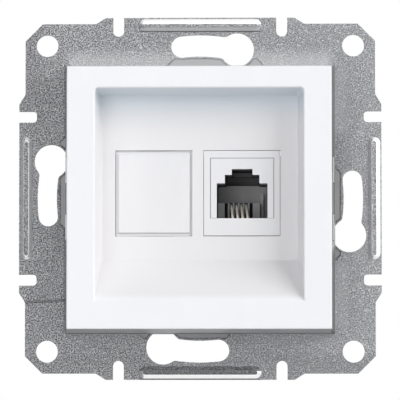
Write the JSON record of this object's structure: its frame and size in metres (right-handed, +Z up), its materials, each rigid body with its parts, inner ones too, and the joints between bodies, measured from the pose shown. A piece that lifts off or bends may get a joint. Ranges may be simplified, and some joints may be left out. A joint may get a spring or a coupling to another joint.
{
  "type": "flush telephone socket",
  "caption": "Flush wall telephone socket without its cover frame: stamped steel yoke, grey support frame, white recessed plate, a blank module and a modular jack.",
  "frame": {"origin": "centre of the yoke's fixing holes, on the wall plane that the yoke's rear face lies on", "axes": "-Y out of the wall towards the room, +Z up, +X right as seen from the room"},
  "size_m": [0.071, 0.0339, 0.071],
  "materials": {
    "zinc_sheet": "zinc-coated sheet steel, finely speckled, semi-matt",
    "grey_plastic": "mid grey moulded plastic, satin",
    "white_plate_plastic": "white moulded plastic, smooth, soft gloss",
    "white_module_plastic": "white moulded plastic, satin",
    "dark_plastic": "dark grey moulded plastic, satin",
    "board_laminate": "green lacquered laminate",
    "terminal_plastic": "off-white moulded plastic",
    "gilded_wire": "thinly gilded spring bronze wire",
    "tinned_bronze": "tinned bronze sheet"
  },
  "bodies": {
    "root": {"mounting_yoke": "zinc_sheet", "support_frame": "grey_plastic", "front_plate": "white_plate_plastic", "blank_insert": "white_module_plastic", "keystone_housing": "white_module_plastic", "jack_shroud": "white_module_plastic", "jack_insert": "dark_plastic", "contact_comb": "dark_plastic", "circuit_board": "board_laminate", "idc_block": "terminal_plastic", "idc_cap_left": "terminal_plastic", "idc_cap_right": "terminal_plastic", "contact_wire_1": "gilded_wire", "contact_wire_2": "gilded_wire", "contact_wire_3": "gilded_wire", "contact_wire_4": "gilded_wire", "idc_contact_1": "tinned_bronze", "idc_contact_2": "tinned_bronze", "idc_contact_3": "tinned_bronze", "idc_contact_4": "tinned_bronze"}
  },
  "joints": []
}
